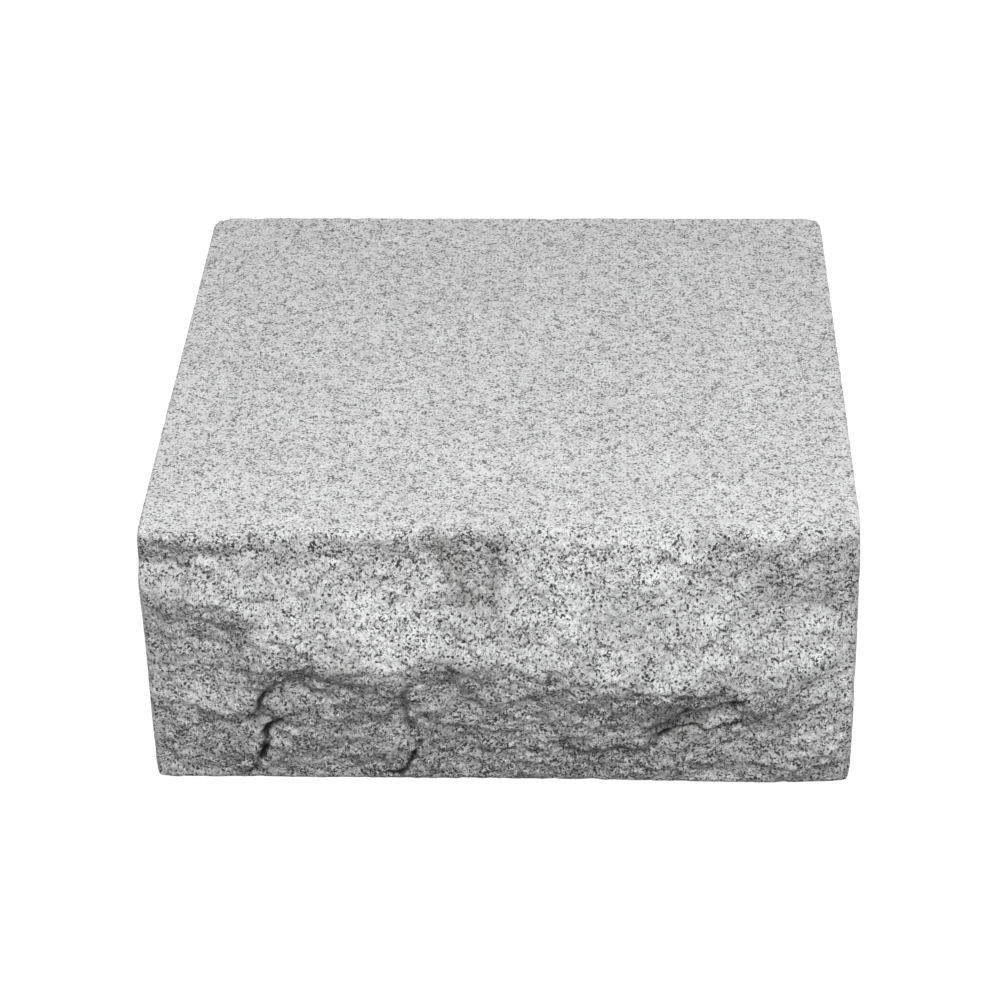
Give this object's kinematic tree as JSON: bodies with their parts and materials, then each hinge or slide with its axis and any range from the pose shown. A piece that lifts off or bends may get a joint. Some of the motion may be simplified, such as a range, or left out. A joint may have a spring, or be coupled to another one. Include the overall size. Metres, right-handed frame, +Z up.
{
  "type": "granite step",
  "caption": "Solid granite block step with a flat flamed tread, a rough split front that bulges forward, and a flat sawn bed, back and ends.",
  "frame": {"origin": "centre of the block's box at its underside, the furthest point of the split front included", "axes": "+Z up, from bed to tread; -Y towards the split front; +X along the width, to the right as seen from the front"},
  "size_m": [0.36, 0.391, 0.15],
  "materials": {
    "granite": "light grey fine-grained granite; flamed matt tread, rough split front, sawn bed, back and ends"
  },
  "bodies": {
    "root": {"granite_step": "granite"}
  },
  "joints": []
}
